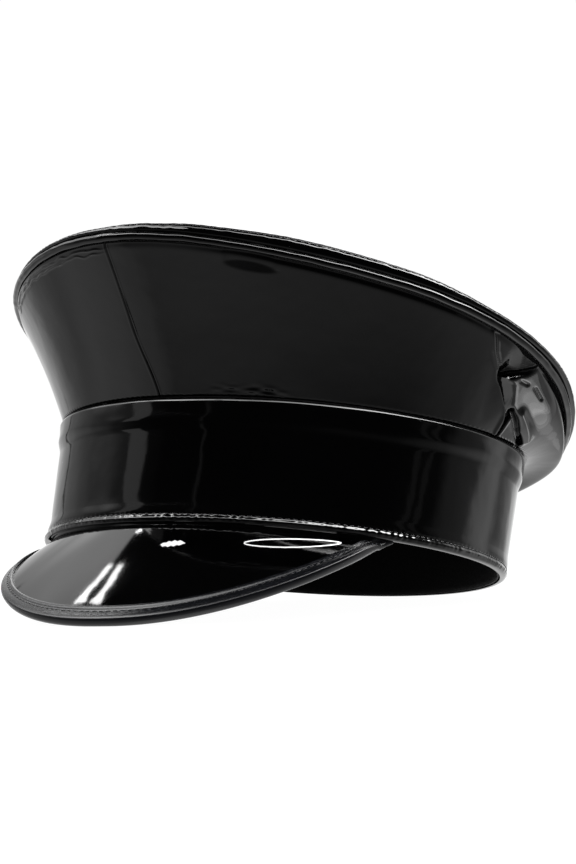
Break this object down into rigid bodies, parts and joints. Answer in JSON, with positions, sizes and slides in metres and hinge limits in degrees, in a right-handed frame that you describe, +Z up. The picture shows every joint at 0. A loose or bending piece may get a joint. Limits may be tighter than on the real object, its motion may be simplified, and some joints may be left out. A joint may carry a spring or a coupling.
{
  "type": "captain hat",
  "caption": "Peaked cap with an upright band, a flared panelled crown under a tilted oval top with a piped rim, and a short sloping peak with a bound edge.",
  "frame": {"origin": "on the table below the middle of the hat as it rests on the front of its peak and the back of its band", "axes": "+Z up, -Y towards the peak at the front, +Y towards the back, +X towards the right as seen from the front, which is the wearer's left"},
  "size_m": [0.218, 0.2784, 0.1456],
  "materials": {
    "patent_vinyl": "high gloss black patent coating",
    "satin_binding": "satin black strip",
    "sweatband_leather": "dull black"
  },
  "bodies": {
    "root": {"band": "patent_vinyl", "sweatband": "sweatband_leather", "crown_front_right": "patent_vinyl", "crown_back_right": "patent_vinyl", "crown_back_left": "patent_vinyl", "crown_front_left": "patent_vinyl", "crown_piping": "patent_vinyl", "crown_top": "patent_vinyl", "peak": "patent_vinyl", "peak_binding": "satin_binding"}
  },
  "joints": []
}
